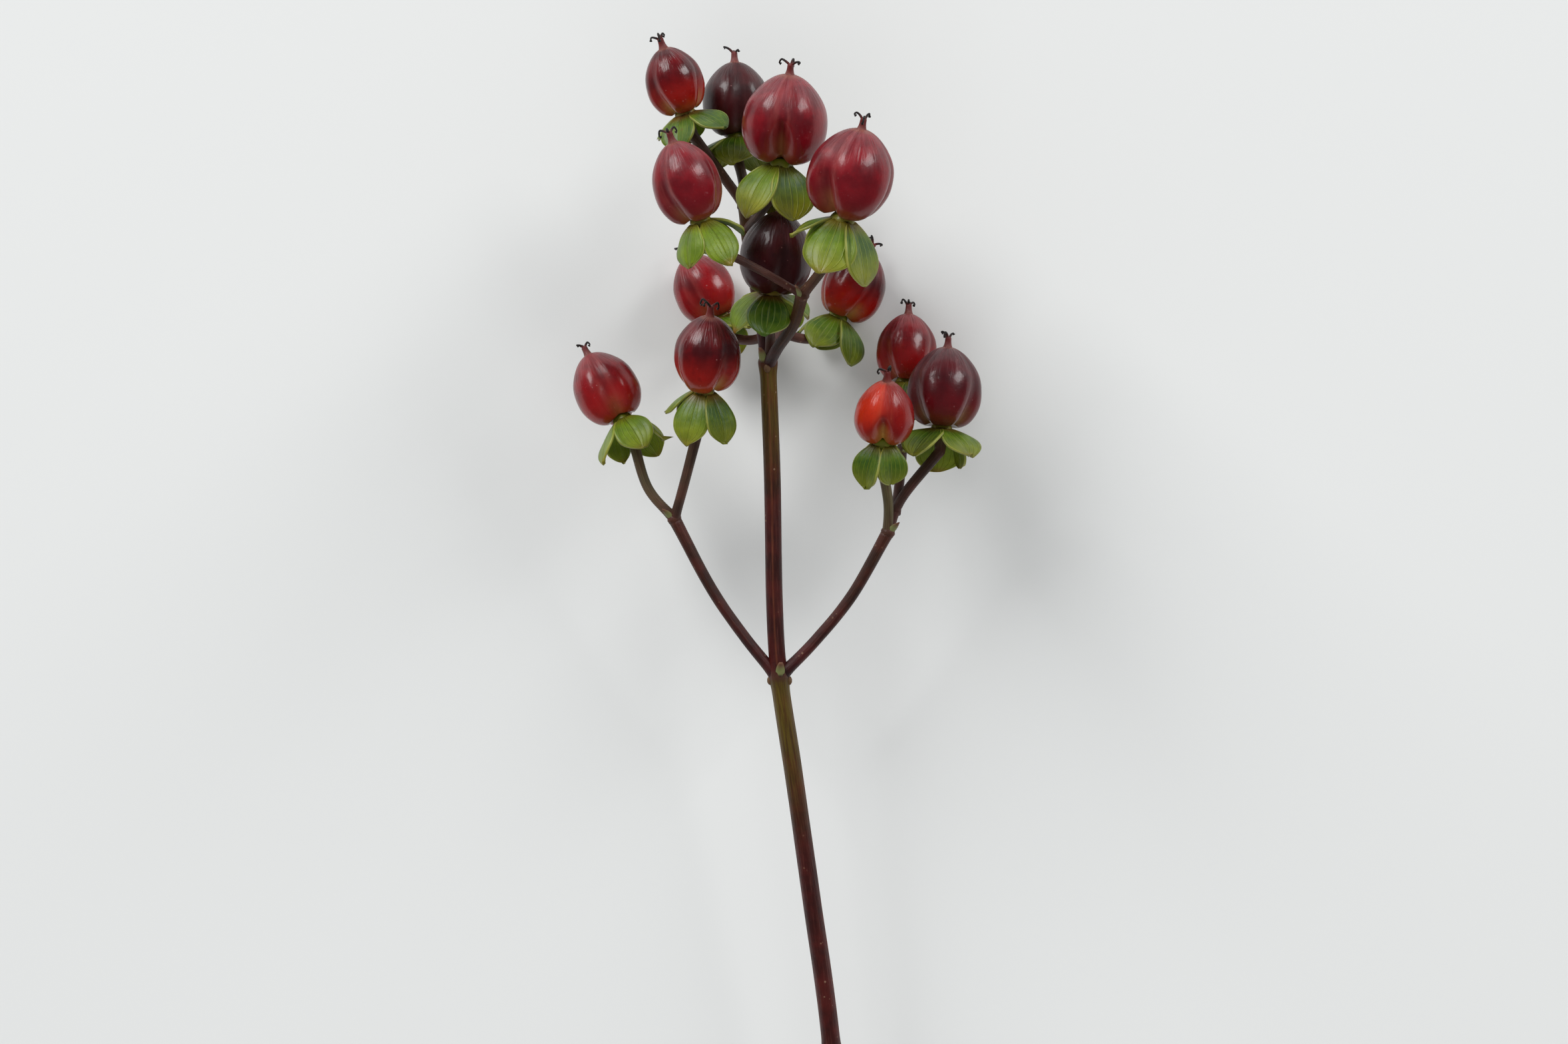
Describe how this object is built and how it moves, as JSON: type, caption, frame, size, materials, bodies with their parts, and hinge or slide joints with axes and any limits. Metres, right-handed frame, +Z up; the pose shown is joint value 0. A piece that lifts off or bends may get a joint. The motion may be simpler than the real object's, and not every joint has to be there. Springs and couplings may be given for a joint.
{
  "type": "hypericum berry stem",
  "caption": "Cut woody stem laid flat, forking near its tip into stalks that end in egg-shaped burgundy berries, each over green sepals bent back.",
  "frame": {"origin": "centre of the bounding box in X and Y, on the surface that the stem lies on", "axes": "+Y from the cut end to the tip, +Z up, away from the surface, +X to the right seen from above with the tip ahead"},
  "size_m": [0.069, 0.4013, 0.0544],
  "materials": {
    "stem": "smooth dark maroon bark, olive green below the nodes",
    "berry": "burgundy skin with a thin waxy bloom",
    "berry_young": "brighter orange-red skin",
    "calyx": "matt yellow-green leaf skin with fine veins"
  },
  "bodies": {
    "root": {"stem": "stem", "berry_01": "berry", "berry_02": "berry", "berry_03": "berry_young", "berry_04": "berry", "berry_05": "berry", "berry_06": "berry", "berry_07": "berry", "berry_08": "berry", "berry_09": "berry", "berry_10": "berry", "berry_11": "berry", "berry_12": "berry", "berry_13": "berry", "calyx_01": "calyx", "calyx_02": "calyx", "calyx_03": "calyx", "calyx_04": "calyx", "calyx_05": "calyx", "calyx_06": "calyx", "calyx_07": "calyx", "calyx_08": "calyx", "calyx_09": "calyx", "calyx_10": "calyx", "calyx_11": "calyx", "calyx_12": "calyx", "calyx_13": "calyx"}
  },
  "joints": []
}
